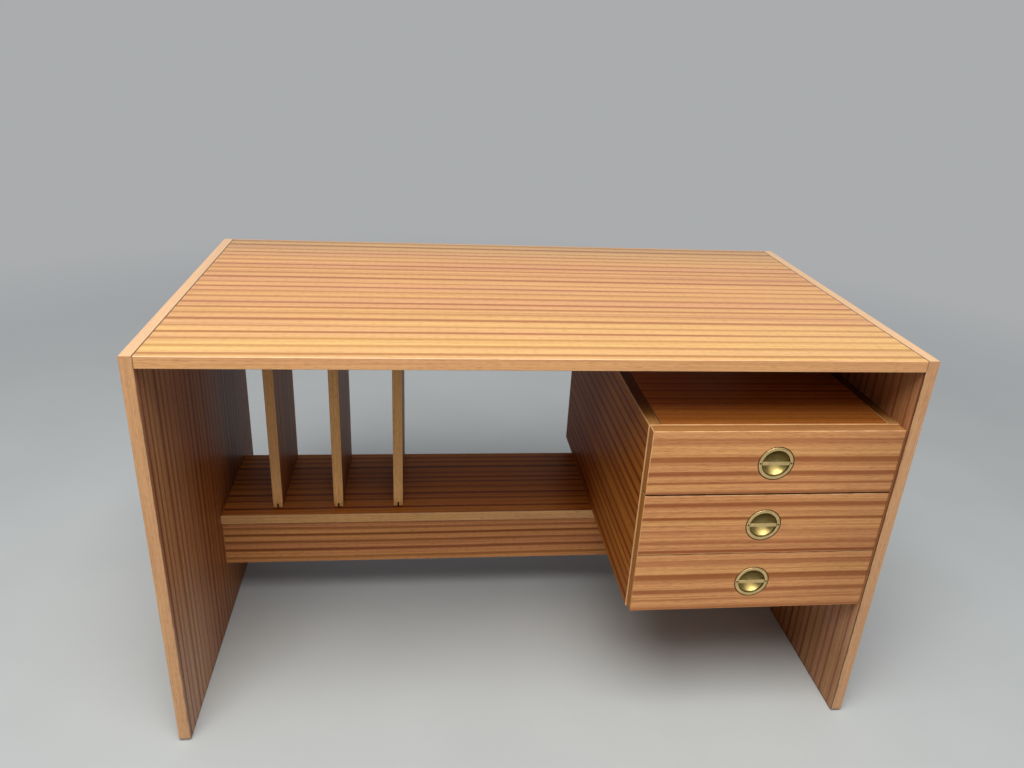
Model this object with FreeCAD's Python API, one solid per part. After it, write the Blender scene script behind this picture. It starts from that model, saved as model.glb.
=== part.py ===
import FreeCAD, Part
import math
import os

from FreeCAD import Vector

# Writing desk: two slab ends, a flush desktop, a low shelf with three dividers and a case of three drawers
# Millimetres. X runs to the right, Y to the back, Z up. The origin is on the floor under the desk's middle

# Whole desk
desk_width = 1210.0
desk_depth = 660.0
desk_height = 720.0
board = 19.0
lipping = 3.0
arris = 1.0
foot_radius = 9.0

# Low shelf and the apron that stiffens it
shelf_top = 243.0
shelf_depth = 250.0
shelf_back_setback = 80.0
apron_height = 100.0
apron_setback = 8.0

# Upright dividers on the shelf, held by loose tongues
divider_names = ("left", "middle", "right")
first_gap = 98.0
divider_gap = 102.0
divider_setback = 29.0
divider_tongue_thickness = 3.0
divider_tongue_depth = 9.0
divider_tongue_setback = 8.0

# Loose tongues that join the boards, and how much longer their grooves are at each end
tongue_thickness = 5.0
tongue_depth = 8.0
tongue_setback = 30.0
tongue_fit = 0.2
groove_lead = 3.0

# Drawer case
case_width = 420.0
recess_height = 103.0
case_side_gap = 0.5
back_thickness = 6.0
back_inset = 8.0
back_housing = 6.0
back_fit = 0.2

# Drawer fronts, which lie over the case's front edges. Their gaps run from the lowest up
drawer_names = ("bottom", "middle", "top")
front_thickness = 22.0
front_recess = 5.5
front_stop_gap = 0.3
front_left_reveal = 1.6
front_right_gap = 1.3
front_bottom_reveal = 7.0
front_top_reveal = 0.5
front_gaps = (0.6, 2.5)

# Drawer boxes
drawer_side = 13.0
drawer_side_gap = 1.0
drawer_rise_gap = 3.0
drawer_back_space = 50.0
drawer_bottom = 5.0
bottom_lift = 8.0
bottom_housing = 5.0
bottom_fit = 0.2
tail_length = 8.0
tail_shoulder = 2.0
tail_angle = 8.0
dovetail_pitch = 20.0
dovetail_pin = 4.0

# Runner strips, let into the case sides, which ride in grooves in the drawer sides
runner_height = 16.0
runner_housing = 4.0
runner_seat_fit = 0.1
runner_groove = 7.0
runner_fit = 0.3
runner_setback = 26.0
runner_rear_space = 12.0
runner_stop_gap = 2.0

# Brass cup pulls, let in flush
pull_radius = 28.75
pull_rim = 6.0
pull_flange = 1.6
pull_proud = 0.4
pull_drop = 1.0
pull_depth = 13.0
pull_wall = 1.2
pull_fit = 0.2
bowl_bands = 3
bar_height = 6.4
bar_ease = 0.3
bar_fit = 0.05
pin_inset = 2.8
pin_radius = 1.1
pin_length = 9.0
pin_fit = 0.1

# Screws and pins are plain rods with this many sides
fastener_sides = 6

# Wood screws
screw_head_radius = 3.5
screw_shank_radius = 1.75
screw_fit = 0.1
runner_screw_length = 18.0
runner_screw_count = 2
fixing_screw_length = 30.0
fixing_screw_inset = 60.0

# Cutters run this far past the faces that they open
overrun = 2.0

# Two places nearer than this are the same place
same_place = 0.001

# Spans of the whole desk
half_width = desk_width / 2
half_depth = desk_depth / 2
side_inner = half_width - board
top_underside = desk_height - board
desk_y = (-half_depth, half_depth)
inner_x = (-side_inner, side_inner)

# Spans of the shelf and apron
shelf_y = (half_depth - shelf_back_setback - shelf_depth, half_depth - shelf_back_setback)
shelf_z = (shelf_top - board, shelf_top)
apron_y = (shelf_y[0] + apron_setback, shelf_y[0] + apron_setback + board)
apron_z = (shelf_z[0] - apron_height, shelf_z[0])
divider_y = (shelf_y[0] + divider_setback, shelf_y[1])
divider_z = (shelf_top, top_underside)

# Spans of the case
case_x = (side_inner - case_side_gap - case_width, side_inner - case_side_gap)
case_y = (front_recess + front_thickness + front_stop_gap - half_depth, half_depth)
case_z = (shelf_top, top_underside - recess_height)
bay_x = (case_x[0] + board, case_x[1] - board)
bay_z = (case_z[0] + board, case_z[1] - board)
case_back_y = (half_depth - back_inset - back_thickness, half_depth - back_inset)

# Spans of the drawers
drawer_count = len(drawer_names)
front_stack = case_z[1] - case_z[0] - front_bottom_reveal - front_top_reveal
front_height = (front_stack - sum(front_gaps)) / drawer_count
front_x = (case_x[0] + front_left_reveal, side_inner - front_right_gap)
front_y = (front_recess - half_depth, front_recess + front_thickness - half_depth)
box_x = (bay_x[0] + drawer_side_gap, bay_x[1] - drawer_side_gap)
box_y = (front_y[1], case_back_y[0] - drawer_back_space)
box_lift = board + drawer_rise_gap - front_bottom_reveal
box_height = front_height - box_lift - board - drawer_rise_gap + front_top_reveal
runner_y = (case_y[0] + runner_setback, case_back_y[0] - runner_rear_space)
runner_reach = drawer_side_gap + runner_groove - runner_fit

# Sizes of the pulls that follow from their rim and bowl
pull_opening = pull_radius - pull_rim
pull_drum = pull_opening + pull_wall
pull_seat = pull_flange - pull_proud
pull_floor = pull_depth + pull_wall


def block(x_span, y_span, z_span):
    """A block between three pairs of limits."""
    corner = Vector(x_span[0], y_span[0], z_span[0])
    return Part.makeBox(x_span[1] - x_span[0], y_span[1] - y_span[0], z_span[1] - z_span[0], corner)


def middle(span):
    return (span[0] + span[1]) / 2


def around(centre, size):
    """The span of a size about its centre."""
    return (centre - size / 2, centre + size / 2)


def spread(span, count):
    """Centres of equal shares of a span."""
    pitch = (span[1] - span[0]) / count
    return [span[0] + (index + 0.5) * pitch for index in range(count)]


def cut_all(shape, cutters):
    for cutter in cutters:
        shape = shape.cut(cutter)
    return shape


def edges_on(shape, axis, place):
    """Edges whose ends both lie at one place along an axis."""
    return [edge for edge in shape.Edges
            if all(abs(getattr(vertex.Point, axis) - place) < same_place for vertex in edge.Vertexes)]


def save(name, *solids):
    """Write one node, which holds one solid or a group of them."""
    shape = solids[0] if len(solids) == 1 else Part.makeCompound(list(solids))
    shape.exportStep("parts/" + name + ".step")


def lipped(blank, x_span, y_span, z_span, sides):
    """Split a blank into its core and its edge lippings. The first sides run full length."""
    rest = {"x": list(x_span), "y": list(y_span), "z": list(z_span)}
    strips = []
    for axis, end in sides:
        outer = rest[axis][end]
        inner = outer + lipping if end == 0 else outer - lipping
        strip = {name: list(span) for name, span in rest.items()}
        strip[axis] = sorted((outer, inner))
        strips.append(blank.common(block(strip["x"], strip["y"], strip["z"])))
        rest[axis][end] = inner
    return blank.common(block(rest["x"], rest["y"], rest["z"])), strips


def loose_tongue(seam_axis, seam, thin_axis, centre, run_axis, run):
    """A loose tongue across a seam between two boards, and the groove that takes it."""
    def body(fit, lead):
        spans = {seam_axis: around(seam, 2 * (tongue_depth + fit)),
                 thin_axis: around(centre, tongue_thickness + 2 * fit),
                 run_axis: (run[0] - lead, run[1] + lead)}
        return block(spans["x"], spans["y"], spans["z"])
    return body(0, 0), body(tongue_fit, groove_lead)


def end_tongues(x_span, thin_axis, centre, run_axis, run):
    """The tongues in both ends of a cross board, and their grooves."""
    pairs = [loose_tongue("x", seam, thin_axis, centre, run_axis, run) for seam in x_span]
    return [pair[0] for pair in pairs], [pair[1] for pair in pairs]


def inset(span, by):
    return (span[0] + by, span[1] - by)


def faceted_rod(place, direction, sections):
    """A plain rod with flat sides, from a place along a direction, through sections of radius and depth."""
    wires = []
    for radius, depth in sections:
        turns = [2 * math.pi * side / fastener_sides for side in range(fastener_sides)]
        corners = [Vector(radius * math.cos(turn), radius * math.sin(turn), depth) for turn in turns]
        wires.append(Part.makePolygon(corners + corners[:1]))
    rod = Part.makeLoft(wires, True, True)
    rod.Placement = FreeCAD.Placement(place, FreeCAD.Rotation(Vector(0, 0, 1), direction))
    return rod


def countersunk(place, direction, length):
    """A countersunk wood screw driven from a place along a direction, and the hole that takes it."""
    head_depth = screw_head_radius - screw_shank_radius

    def body(fit):
        sections = [(screw_head_radius + fit, 0), (screw_shank_radius + fit, head_depth),
                    (screw_shank_radius + fit, length + fit)]
        return faceted_rod(place, direction, sections)
    return body(0), body(screw_fit)


def slab_end(x_span, cutters):
    """A full height end: core, front, back and top lippings, with rounded lower corners."""
    blank = block(x_span, desk_y, (0, desk_height))
    feet = [edge for edge in edges_on(blank, "z", 0) if edge.Length < desk_depth - same_place]
    blank = blank.makeFillet(foot_radius, feet)
    blank = blank.makeChamfer(arris, edges_on(blank, "x", x_span[0]) + edges_on(blank, "x", x_span[1]))
    core, strips = lipped(blank, x_span, desk_y, (0, desk_height), (("y", 0), ("y", 1), ("z", 1)))
    return cut_all(core, cutters), strips


def cross_board(x_span, y_span, z_span, sides, cutters):
    """A board with every arris eased, lipped on the sides that show."""
    blank = block(x_span, y_span, z_span)
    blank = blank.makeChamfer(arris, blank.Edges)
    core, strips = lipped(blank, x_span, y_span, z_span, sides)
    return cut_all(core, cutters), [cut_all(strip, cutters) for strip in strips]


def divider_spans():
    """The X spans of the dividers, from the left end to the right."""
    spans = []
    low = first_gap - side_inner
    for _ in divider_names:
        spans.append((low, low + board))
        low += board + divider_gap
    return spans


def divider_joints():
    """Loose tongues under and over the dividers, and the grooves that take them."""
    solids, shelf_grooves, top_grooves, divider_grooves = [], [], [], []
    tongue_y = inset(divider_y, divider_tongue_setback)
    shelf_groove_y = (divider_y[0] - groove_lead, tongue_y[1] + groove_lead)
    top_groove_y = inset(tongue_y, -groove_lead)
    through_y = inset(divider_y, -overrun)
    for x_span in divider_spans():
        tongue_x = around(middle(x_span), divider_tongue_thickness)
        groove_x = inset(tongue_x, -tongue_fit)
        for seam in divider_z:
            solids.append(block(tongue_x, tongue_y, around(seam, 2 * divider_tongue_depth)))
            groove_z = around(seam, 2 * (divider_tongue_depth + tongue_fit))
            divider_grooves.append(block(groove_x, through_y, groove_z))
            if seam == shelf_top:
                shelf_grooves.append(block(groove_x, shelf_groove_y, groove_z))
            else:
                top_grooves.append(block(groove_x, top_groove_y, groove_z))
    return solids, shelf_grooves, top_grooves, divider_grooves


def case_screws():
    """Screws that hold the case to the shelf below it and to the right end beside it."""
    places = []
    for x_place in inset(bay_x, fixing_screw_inset):
        places.append((Vector(x_place, middle(shelf_y), bay_z[0]), Vector(0, 0, -1)))
    runner_heights = [middle(box_z(index)) for index in range(drawer_count)]
    height = middle(runner_heights[-2:])
    for y_place in inset((case_y[0], case_back_y[0]), fixing_screw_inset):
        places.append((Vector(bay_x[1], y_place, height), Vector(1, 0, 0)))
    made = [countersunk(place, direction, fixing_screw_length) for place, direction in places]
    return [screw for screw, _ in made], [hole for _, hole in made]


def front_z(index):
    low = case_z[0] + front_bottom_reveal + index * front_height + sum(front_gaps[:index])
    return (low, low + front_height)


def box_z(index):
    low = front_z(index)[0] + box_lift
    return (low, low + box_height)


def round_ended(x_span, y_span, z_span):
    """A strip along Y whose front end is a half round."""
    radius = (z_span[1] - z_span[0]) / 2
    body = block(x_span, (y_span[0] + radius, y_span[1]), z_span)
    nose_place = Vector(x_span[0], y_span[0] + radius, middle(z_span))
    nose = Part.makeCylinder(radius, x_span[1] - x_span[0], nose_place, Vector(1, 0, 0))
    return body.fuse(nose).removeSplitter()


def runner_strips(side):
    """The runner strips on one case side, their screws, and the housings and holes that they need."""
    wall, inward = (bay_x[0], 1) if side == "left" else (bay_x[1], -1)
    face = wall + inward * runner_reach
    seat = wall - inward * runner_housing
    seat_cut = seat - inward * runner_seat_fit
    strips, screws, cutters = [], [], []
    for index in range(drawer_count):
        z_span = around(middle(box_z(index)), runner_height)
        strip = round_ended(tuple(sorted((seat, face))), runner_y, z_span)
        cutters.append(round_ended(tuple(sorted((seat_cut, wall + inward * overrun))),
                                   inset(runner_y, -runner_seat_fit), inset(z_span, -runner_seat_fit)))
        for y_place in spread(runner_y, runner_screw_count):
            place = Vector(face, y_place, middle(z_span))
            screw, hole = countersunk(place, Vector(-inward, 0, 0), runner_screw_length)
            strip = strip.cut(hole)
            screws.append(screw)
            cutters.append(hole)
        strips.append(strip)
    return strips, screws, cutters


def case_back_cutter():
    """The groove that takes the thin back, cut into all four boards of the case."""
    groove_y = inset(case_back_y, -back_fit)
    return block(inset(bay_x, -back_housing), groove_y, inset(bay_z, -back_housing))


def case_side(x_span, cutters):
    """One side of the case, lipped on its front, back and top edges."""
    sides = (("y", 0), ("y", 1), ("z", 1))
    return cross_board(x_span, case_y, case_z, sides, cutters)


def dovetail_tails(x_span, z_span, rear):
    """The tails on a drawer side's rear end, widest at the very end."""
    flare = drawer_side * math.tan(math.radians(tail_angle))
    height = z_span[1] - z_span[0]
    count = max(1, round(height / dovetail_pitch))
    wide = (height / count - dovetail_pin) / 2
    tails = []
    for centre in spread(z_span, count):
        points = [Vector(x_span[0], rear - drawer_side, centre - wide + flare),
                  Vector(x_span[0], rear, centre - wide),
                  Vector(x_span[0], rear, centre + wide),
                  Vector(x_span[0], rear - drawer_side, centre + wide - flare)]
        outline = Part.Face(Part.makePolygon(points + points[:1]))
        tails.append(outline.extrude(Vector(x_span[1] - x_span[0], 0, 0)))
    return tails


def front_tail(x_span, z_span):
    """The dovetailed tongue on a drawer side's front end, and the slot that it slides up into."""
    flare = tail_length * math.tan(math.radians(tail_angle))
    neck = (x_span[0] + tail_shoulder, x_span[1] - tail_shoulder)
    root = box_y[0]
    points = [Vector(neck[0], root, z_span[0]), Vector(neck[1], root, z_span[0]),
              Vector(neck[1] + flare, root - tail_length, z_span[0]),
              Vector(neck[0] - flare, root - tail_length, z_span[0])]
    outline = Part.Face(Part.makePolygon(points + points[:1]))
    tongue = outline.extrude(Vector(0, 0, z_span[1] - z_span[0]))
    low = z_span[0] - box_lift - overrun
    slot_outline = outline.translated(Vector(0, 0, low - z_span[0]))
    slot = slot_outline.extrude(Vector(0, 0, z_span[1] - low))
    return tongue, slot


def cup_centre(index):
    """The middle of a pull, a little below the middle of its drawer front."""
    return Vector(middle(front_x), front_y[0], middle(front_z(index)) - pull_drop)


def bowl_profile():
    """Points on the bowl's sphere at equal steps of angle, from its pole to its mouth behind the rim."""
    sag = pull_depth - pull_seat
    radius = (pull_opening ** 2 + sag ** 2) / (2 * sag)
    ahead = radius - pull_depth
    whole = math.asin(pull_opening / radius)
    angles = [whole * step / bowl_bands for step in range(bowl_bands + 1)]
    return [Vector(radius * math.sin(angle), radius * math.cos(angle) - ahead, 0) for angle in angles]


def pull_cup(index):
    """The turned brass cup: a flat rim, and a drum behind it with a bowl turned in it."""
    corners = [(pull_opening, -pull_proud), (pull_radius, -pull_proud), (pull_radius, pull_seat),
               (pull_drum, pull_seat), (pull_drum, pull_floor), (0, pull_floor)]
    points = bowl_profile() + [Vector(reach, depth, 0) for reach, depth in corners]
    profile = Part.Face(Part.makePolygon(points + points[:1]))
    cup = profile.revolve(Vector(0, 0, 0), Vector(0, 1, 0), 360)
    return cup.translated(cup_centre(index))


def pull_bar(index):
    """The flat finger bar across the cup, level with the rim."""
    centre = cup_centre(index)
    y_span = (centre.y - pull_proud, centre.y + pull_seat)
    bar = block(around(centre.x, 2 * pull_opening), y_span, around(centre.z, bar_height))
    bar = bar.makeChamfer(bar_ease, [edge for edge in bar.Edges if edge.Length > pull_opening])
    start = Vector(centre.x, y_span[0], centre.z)
    ends = Part.makeCylinder(pull_opening - bar_fit, pull_flange, start, Vector(0, 1, 0))
    return bar.common(ends)


def pull_pins(index):
    """The two small pins in the rim, one beyond each end of the bar, and their holes."""
    centre = cup_centre(index)
    reach = pull_radius - pin_inset
    starts = [centre + Vector(side * reach, -pull_proud, 0) for side in (-1, 1)]

    def bodies(fit):
        sections = [(pin_radius + fit, 0), (pin_radius + fit, pin_length + fit)]
        return [faceted_rod(start, Vector(0, 1, 0), sections) for start in starts]
    return bodies(0), bodies(pin_fit)


def pull_mortise(index):
    """The stepped recess in a drawer front that takes the rim and the drum."""
    centre = cup_centre(index)
    back = Vector(0, 1, 0)
    ledge = Part.makeCylinder(pull_radius + pull_fit, pull_seat + overrun, centre - back * overrun, back)
    well = Part.makeCylinder(pull_drum + pull_fit, pull_floor + pull_fit, centre, back)
    return ledge.fuse(well)


def drawer(index, name):
    """One drawer: a lipped front with its pull, two grooved sides, a back and a thin bottom."""
    z_span = box_z(index)
    back_z = (z_span[0] + bottom_lift + drawer_bottom + bottom_fit, z_span[1])
    back_y = (box_y[1] - drawer_side, box_y[1])
    side_spans = {"left": (box_x[0], box_x[0] + drawer_side), "right": (box_x[1] - drawer_side, box_x[1])}
    inside_x = (side_spans["left"][1], side_spans["right"][0])

    bottom_z = (z_span[0] + bottom_lift, z_span[0] + bottom_lift + drawer_bottom)
    groove_z = (bottom_z[0] - bottom_fit, bottom_z[1] + bottom_fit)
    groove_x = (inside_x[0] - bottom_housing, inside_x[1] + bottom_housing)
    bottom_groove = block(groove_x, (box_y[0] - bottom_housing, box_y[1] + overrun), groove_z)
    bottom_x = (groove_x[0] + bottom_fit, groove_x[1] - bottom_fit)
    bottom_y = (box_y[0] - bottom_housing + bottom_fit, box_y[1])

    ride_z = around(middle(z_span), runner_height + 2 * runner_fit)
    ride_y = (runner_y[0] - runner_stop_gap, box_y[1] + overrun)
    ride_x = {"left": (box_x[0] - overrun, box_x[0] + runner_groove),
              "right": (box_x[1] - runner_groove, box_x[1] + overrun)}
    rides = [round_ended(ride_x[side], ride_y, ride_z) for side in ("left", "right")]

    slots = []
    tails = []
    for side, x_span in side_spans.items():
        side_tails = dovetail_tails(x_span, back_z, box_y[1])
        pin_spaces = cut_all(block(x_span, back_y, back_z), side_tails)
        tongue, slot = front_tail(x_span, z_span)
        side_board = block(x_span, box_y, z_span).cut(pin_spaces).fuse(tongue).removeSplitter()
        save("drawer_" + name + "_" + side + "_side", cut_all(side_board, [bottom_groove] + rides))
        slots.append(slot)
        tails += side_tails
    back_board = block(box_x, back_y, back_z)
    save("drawer_" + name + "_back", cut_all(back_board, tails + rides))
    save("drawer_" + name + "_bottom", block(bottom_x, bottom_y, bottom_z))

    pins, pin_holes = pull_pins(index)
    cutters = slots + [bottom_groove, pull_mortise(index)] + pin_holes
    sides = (("x", 0), ("x", 1), ("z", 0), ("z", 1))
    front, strips = cross_board(front_x, front_y, front_z(index), sides, cutters)
    save("drawer_" + name + "_front", front)
    save("drawer_" + name + "_front_lippings", *strips)
    save("drawer_" + name + "_pull_cup", cut_all(pull_cup(index), pin_holes))
    save("drawer_" + name + "_pull_bar", pull_bar(index))
    save("drawer_" + name + "_pull_pins", *pins)


def desk():
    """The fixed part of the desk: ends, desktop, shelf, apron, dividers and case."""
    top_z = (top_underside, desk_height)
    top_tongues, top_slots = end_tongues(inner_x, "z", middle(top_z), "y", inset(desk_y, tongue_setback))
    shelf_tongues, shelf_slots = end_tongues(inner_x, "z", middle(shelf_z), "y",
                                             inset(shelf_y, tongue_setback))
    apron_tongues, apron_slots = end_tongues(inner_x, "y", middle(apron_y), "z",
                                             inset(apron_z, tongue_setback))
    long_tongue, long_slot = loose_tongue("z", shelf_z[0], "y", middle(apron_y), "x",
                                          inset(inner_x, tongue_setback))
    fixings, fixing_holes = case_screws()

    end_cutters = top_slots + shelf_slots + apron_slots + fixing_holes
    for name, x_span in (("left", (-half_width, -side_inner)), ("right", (side_inner, half_width))):
        core, strips = slab_end(x_span, end_cutters)
        save(name + "_side_panel", core)
        save(name + "_side_lippings", *strips)

    divider_tongues, shelf_grooves, top_grooves, divider_grooves = divider_joints()
    front_and_back = (("y", 0), ("y", 1))
    core, strips = cross_board(inner_x, desk_y, top_z, front_and_back, top_slots + top_grooves)
    save("desktop_panel", core)
    save("desktop_lippings", *strips)
    core, strips = cross_board(inner_x, shelf_y, shelf_z, front_and_back,
                               shelf_slots + [long_slot] + shelf_grooves + fixing_holes)
    save("lower_shelf", core)
    save("shelf_lippings", *strips)
    core, _ = cross_board(inner_x, apron_y, apron_z, (), apron_slots + [long_slot])
    save("shelf_apron", core)

    divider_strips = []
    for name, x_span in zip(divider_names, divider_spans()):
        core, strips = cross_board(x_span, divider_y, divider_z, front_and_back, divider_grooves)
        save("divider_" + name, core)
        divider_strips += strips
    save("divider_lippings", *divider_strips)
    save("divider_tongues", *divider_tongues)
    save("desktop_tongues", *top_tongues)
    save("shelf_tongues", *shelf_tongues)
    save("apron_tongues", *apron_tongues, long_tongue)
    save("case_fixing_screws", *fixings)
    case(fixing_holes)


def case(fixing_holes):
    """The drawer case: four tongued boards, a thin back in a groove and six runner strips."""
    back_groove = case_back_cutter()
    cross_z = {"bottom": (case_z[0], bay_z[0]), "top": (bay_z[1], case_z[1])}
    run = inset((case_y[0], case_back_y[0]), tongue_setback)
    tongues, slots = [], []
    for z_span in cross_z.values():
        pair_tongues, pair_slots = end_tongues(bay_x, "z", middle(z_span), "y", run)
        tongues += pair_tongues
        slots += pair_slots
    cutters = slots + fixing_holes + [back_groove]

    runner_screws = []
    for side, x_span in (("left", (case_x[0], bay_x[0])), ("right", (bay_x[1], case_x[1]))):
        strips, screws, runner_cutters = runner_strips(side)
        core, lippings = case_side(x_span, cutters + runner_cutters)
        save("case_" + side + "_panel", core)
        save("case_" + side + "_lippings", *lippings)
        save(side + "_runners", *strips)
        runner_screws += screws
    save("runner_screws", *runner_screws)

    cross_strips = []
    for name, z_span in cross_z.items():
        core, strips = cross_board(bay_x, case_y, z_span, (("y", 0), ("y", 1)), cutters)
        save("case_" + name + "_panel", core)
        cross_strips += strips
    save("case_cross_lippings", *cross_strips)
    save("case_tongues", *tongues)

    reach = back_housing - back_fit
    save("case_back_panel", block(inset(bay_x, -reach), case_back_y, inset(bay_z, -reach)))


os.makedirs("parts", exist_ok=True)
desk()
for number, drawer_name in enumerate(drawer_names):
    drawer(number, drawer_name)
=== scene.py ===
import math

import bmesh
import bpy
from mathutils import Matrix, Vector


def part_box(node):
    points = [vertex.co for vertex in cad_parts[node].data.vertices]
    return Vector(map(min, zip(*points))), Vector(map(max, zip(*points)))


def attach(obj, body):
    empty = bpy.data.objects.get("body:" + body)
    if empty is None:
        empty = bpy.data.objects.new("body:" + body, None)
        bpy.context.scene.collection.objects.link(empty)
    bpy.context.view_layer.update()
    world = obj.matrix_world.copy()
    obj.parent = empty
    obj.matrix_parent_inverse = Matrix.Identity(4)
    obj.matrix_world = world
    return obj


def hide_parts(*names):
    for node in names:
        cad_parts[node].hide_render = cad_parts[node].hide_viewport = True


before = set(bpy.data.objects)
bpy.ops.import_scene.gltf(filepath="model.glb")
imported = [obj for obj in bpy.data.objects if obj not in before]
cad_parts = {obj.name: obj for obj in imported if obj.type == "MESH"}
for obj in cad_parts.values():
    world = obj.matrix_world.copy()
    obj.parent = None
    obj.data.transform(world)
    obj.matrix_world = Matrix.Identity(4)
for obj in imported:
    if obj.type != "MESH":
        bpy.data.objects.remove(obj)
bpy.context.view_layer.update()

# Writing desk in ribbon-striped veneer with plain lippings, brass cup pulls and pale drawer boxes
# Metres, in the CAD frame: X to the right, Y to the back, Z up. Colours are screen values from 0 to 255

# Camera and studio
CAMERA_PLACE = (-0.19245, -1.39362, 1.15530)
CAMERA_ANGLES = (66.064, -2.818, -5.927)
CAMERA_LENS = 28.12
SENSOR_WIDTH = 36.0
FLOOR_RADIUS = 16.0
FLOOR_SEGMENTS = 96
FLOOR_NEAR = (185, 191, 196)
FLOOR_FAR = (170, 172, 174)
CEILING = (250, 250, 248)
FADE_START = 1.3
FADE_END = 3.6
FLOOR_ROUGHNESS = 0.75
MOTTLE_RATE = 3.0
MOTTLE_SPAN = (0.3, 0.7, 0.96, 1.0)
SKY_TOP = (236, 240, 245)
SKY_SIDE = (128, 132, 138)
SKY_STRENGTH = 0.32
SKY_SPAN = (0.0, 0.8)
BACKDROP_SPAN = (0.05, 0.6)
KEY_PLACE = (-0.4, -1.56, 3.4)
KEY_SIZE = (2.6, 2.2)
KEY_POWER = 150.0
KEY_COLOUR = (255, 250, 240)
KEY_AIM = (0.0, 0.0, 0.45)

# Woods
WHITE = (255, 255, 255)
VENEER_LIGHT = ((226, 170, 112), (222, 161, 112))
VENEER_DARK = ((158, 94, 54), (150, 86, 52))
SLAB_LIGHT = ((226, 174, 130), (222, 165, 132))
SLAB_DARK = ((158, 101, 70), (152, 95, 70))
TOP_LIGHT = ((233, 191, 115), (227, 180, 117))
TOP_DARK = ((171, 116, 46), (165, 106, 44))
TOP_TINT = (252, 247, 254)
TOP_MIDDLE_TINT = (248, 234, 240)
TOP_BACK_TINT = (229, 242, 252)
APRON_DARK = ((132, 76, 42), (126, 70, 44))
SHELF_DARK = ((122, 70, 40), (116, 64, 40))
CASE_DARK = ((158, 99, 55), (150, 91, 53))
FRONT_LIGHT = ((228, 169, 110), (223, 160, 107))
# Painted shade: these tints darken faces by where light falls, under the desktop, in the knee-hole, in the drawer
# case and in gaps and slots
SHADED_TINT = (202, 176, 148)
# Painted shade and a painted grey sheen on the slab ends' inner faces
SLAB_TINT = (230, 240, 246)
# The slab ends' outer faces take this warmer tint instead, with no painted shade
SLAB_OUTER_TINT = (255, 248, 224)
# Painted shade on the slab lippings' inner faces, darker in the gap beside the drawer fronts
INNER_EDGE_TINT = (200, 175, 150)
GAP_EDGE_TINT = (110, 84, 64)
# Painted shade on drawer lipping faces shut in the gaps between drawers
GAP_TINT = (150, 125, 105)
# Painted shade on the divider tongues' ends, seen in the slots
SLOT_TINT = (60, 42, 30)
# Painted shade on the shelf, deeper towards the drawer case
SHELF_TINT = (222, 184, 128)
SHELF_END_TINT = (220, 206, 188)
# Painted shade in and on the drawer case
CASE_TINT = (217, 184, 127)
CASE_TOP_TINT = (254, 216, 151)
CASE_LIPPING_TINT = (178, 150, 112)
CASE_EDGE_TINT = (245, 235, 225)
CASE_SIDE_TOP_TINT = (212, 204, 180)
# Painted shade on the drawer lippings' left faces
STRIP_TINT = (226, 194, 148)
# Painted shade on the apron's front
APRON_TINT = (238, 224, 212)
# Painted shade on the drawer fronts towards the right slab, and on the top drawer's upper face
FRONT_END_TINT = (238, 238, 240)
FRONT_TOP_TINT = (205, 192, 170)
BLEACHED_TONE = (244, 214, 172)
VENEER_PORE = (112, 62, 36)
LIPPING_LIGHT = ((216, 167, 112), (210, 161, 114))
LIPPING_DARK = ((187, 136, 86), (183, 130, 88))
SLAB_EDGE_LIGHT = ((216, 165, 115), (210, 159, 117))
SLAB_EDGE_DARK = ((187, 132, 92), (183, 127, 94))
EDGE_LIGHT = ((231, 173, 114), (224, 166, 115))
EDGE_DARK = ((198, 140, 88), (194, 134, 88))
DIVIDER_EDGE_LIGHT = ((252, 196, 128), (246, 190, 128))
DIVIDER_EDGE_DARK = ((220, 162, 100), (214, 156, 98))
LIPPING_PORE = (132, 88, 54)
# Arrises lightened as wear and as a painted highlight
ARRIS_TONE = (238, 198, 150)
# Dark joints; painted contact shade at the divider feet; dirt and painted shade round the pulls and at the slab feet
JOINT_TONE = (58, 34, 20)
DRAWER_LIGHT = ((216, 180, 134), (212, 172, 130))
DRAWER_DARK = ((192, 150, 104), (188, 142, 100))
DRAWER_PORE = (142, 102, 66)
BEECH_LIGHT = ((221, 184, 142), (218, 178, 142))
BEECH_DARK = ((203, 160, 118), (200, 154, 118))
BEECH_PORE = (158, 114, 78)
PLY_LIGHT = ((224, 187, 142), (218, 179, 136))
PLY_DARK = ((200, 157, 110), (194, 149, 106))
PLY_PORE = (160, 122, 82)
CHIP_LIGHT = (201, 172, 132)
CHIP_DARK = (142, 108, 74)

# Colour that changes along a board: its axis, start, end and tint there, or only how far a tint above takes to fade.
# All but the desktop's front strip are painted shade
TOP_FRONT_FADE = (0.015, 0.07)
SLAB_UPPER_AGE = ("z", 0.12, 0.35, (250, 226, 200))
SLAB_DEEP_AGE = ("y", -0.26, -0.05, (222, 190, 150))
SLAB_BACK_AGE = ("y", 0.0, 0.25, (215, 205, 190))
SLAB_LOW_AGE = ("z", 0.20, 0.10, (236, 224, 205))  # On the right end only
DIVIDER_TOP_AGE = ("z", 0.42, 0.70, (212, 217, 224))
CASE_TOP_FRONT_AGE = ("y", -0.21, -0.29, (194, 190, 190))
CASE_UPPER_AGE = ("z", 0.42, 0.58, (240, 230, 170))
CASE_DEEP_AGE = ("y", -0.12, 0.10, (214, 186, 152))
CASE_LIPPING_FADE = 0.05
FRONT_END_FADE = 0.15
SHELF_END_FADE = 0.12

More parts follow.
